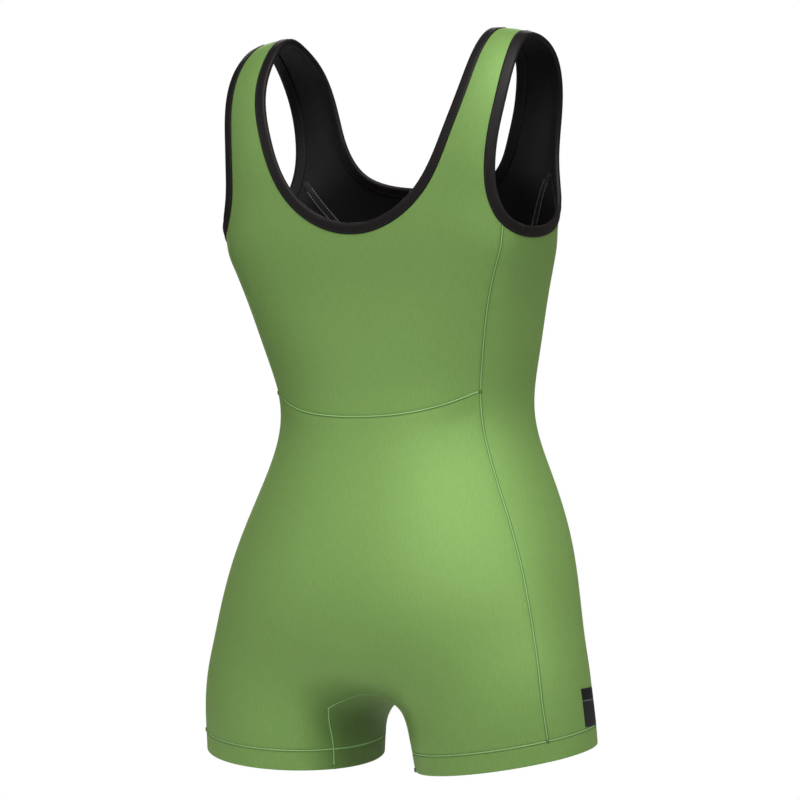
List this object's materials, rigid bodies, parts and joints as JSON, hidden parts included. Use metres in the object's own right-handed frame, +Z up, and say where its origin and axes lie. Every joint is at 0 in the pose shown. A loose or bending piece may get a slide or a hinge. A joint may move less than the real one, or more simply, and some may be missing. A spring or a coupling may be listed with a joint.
{
  "type": "short-leg wetsuit",
  "caption": "Sleeveless short-leg wetsuit in stretch neoprene, hollow as if worn: scooped neck, shoulder straps, side panels, gusset, leg bands and folded edging.",
  "frame": {"origin": "middle of the shoulder line, between the tops of the two shoulder straps, where the wearer holds the suit up", "axes": "+Z up along the body, -Y to the wearer's front, +X to the wearer's left"},
  "size_m": [0.398, 0.231, 0.6907],
  "materials": {
    "neoprene": "satin stretch jersey bonded to neoprene foam",
    "edging": "matt stretch binding",
    "label": "matt woven tape",
    "thread": "matt thread"
  },
  "bodies": {
    "root": {"back_bodice": "neoprene", "back_lower": "neoprene", "front_panel": "neoprene", "side_panel_left": "neoprene", "side_panel_right": "neoprene", "gusset": "neoprene", "leg_band_left": "neoprene", "leg_band_right": "neoprene", "neck_binding": "edging", "armhole_binding_left": "edging", "armhole_binding_right": "edging", "label": "label"}
  },
  "joints": []
}
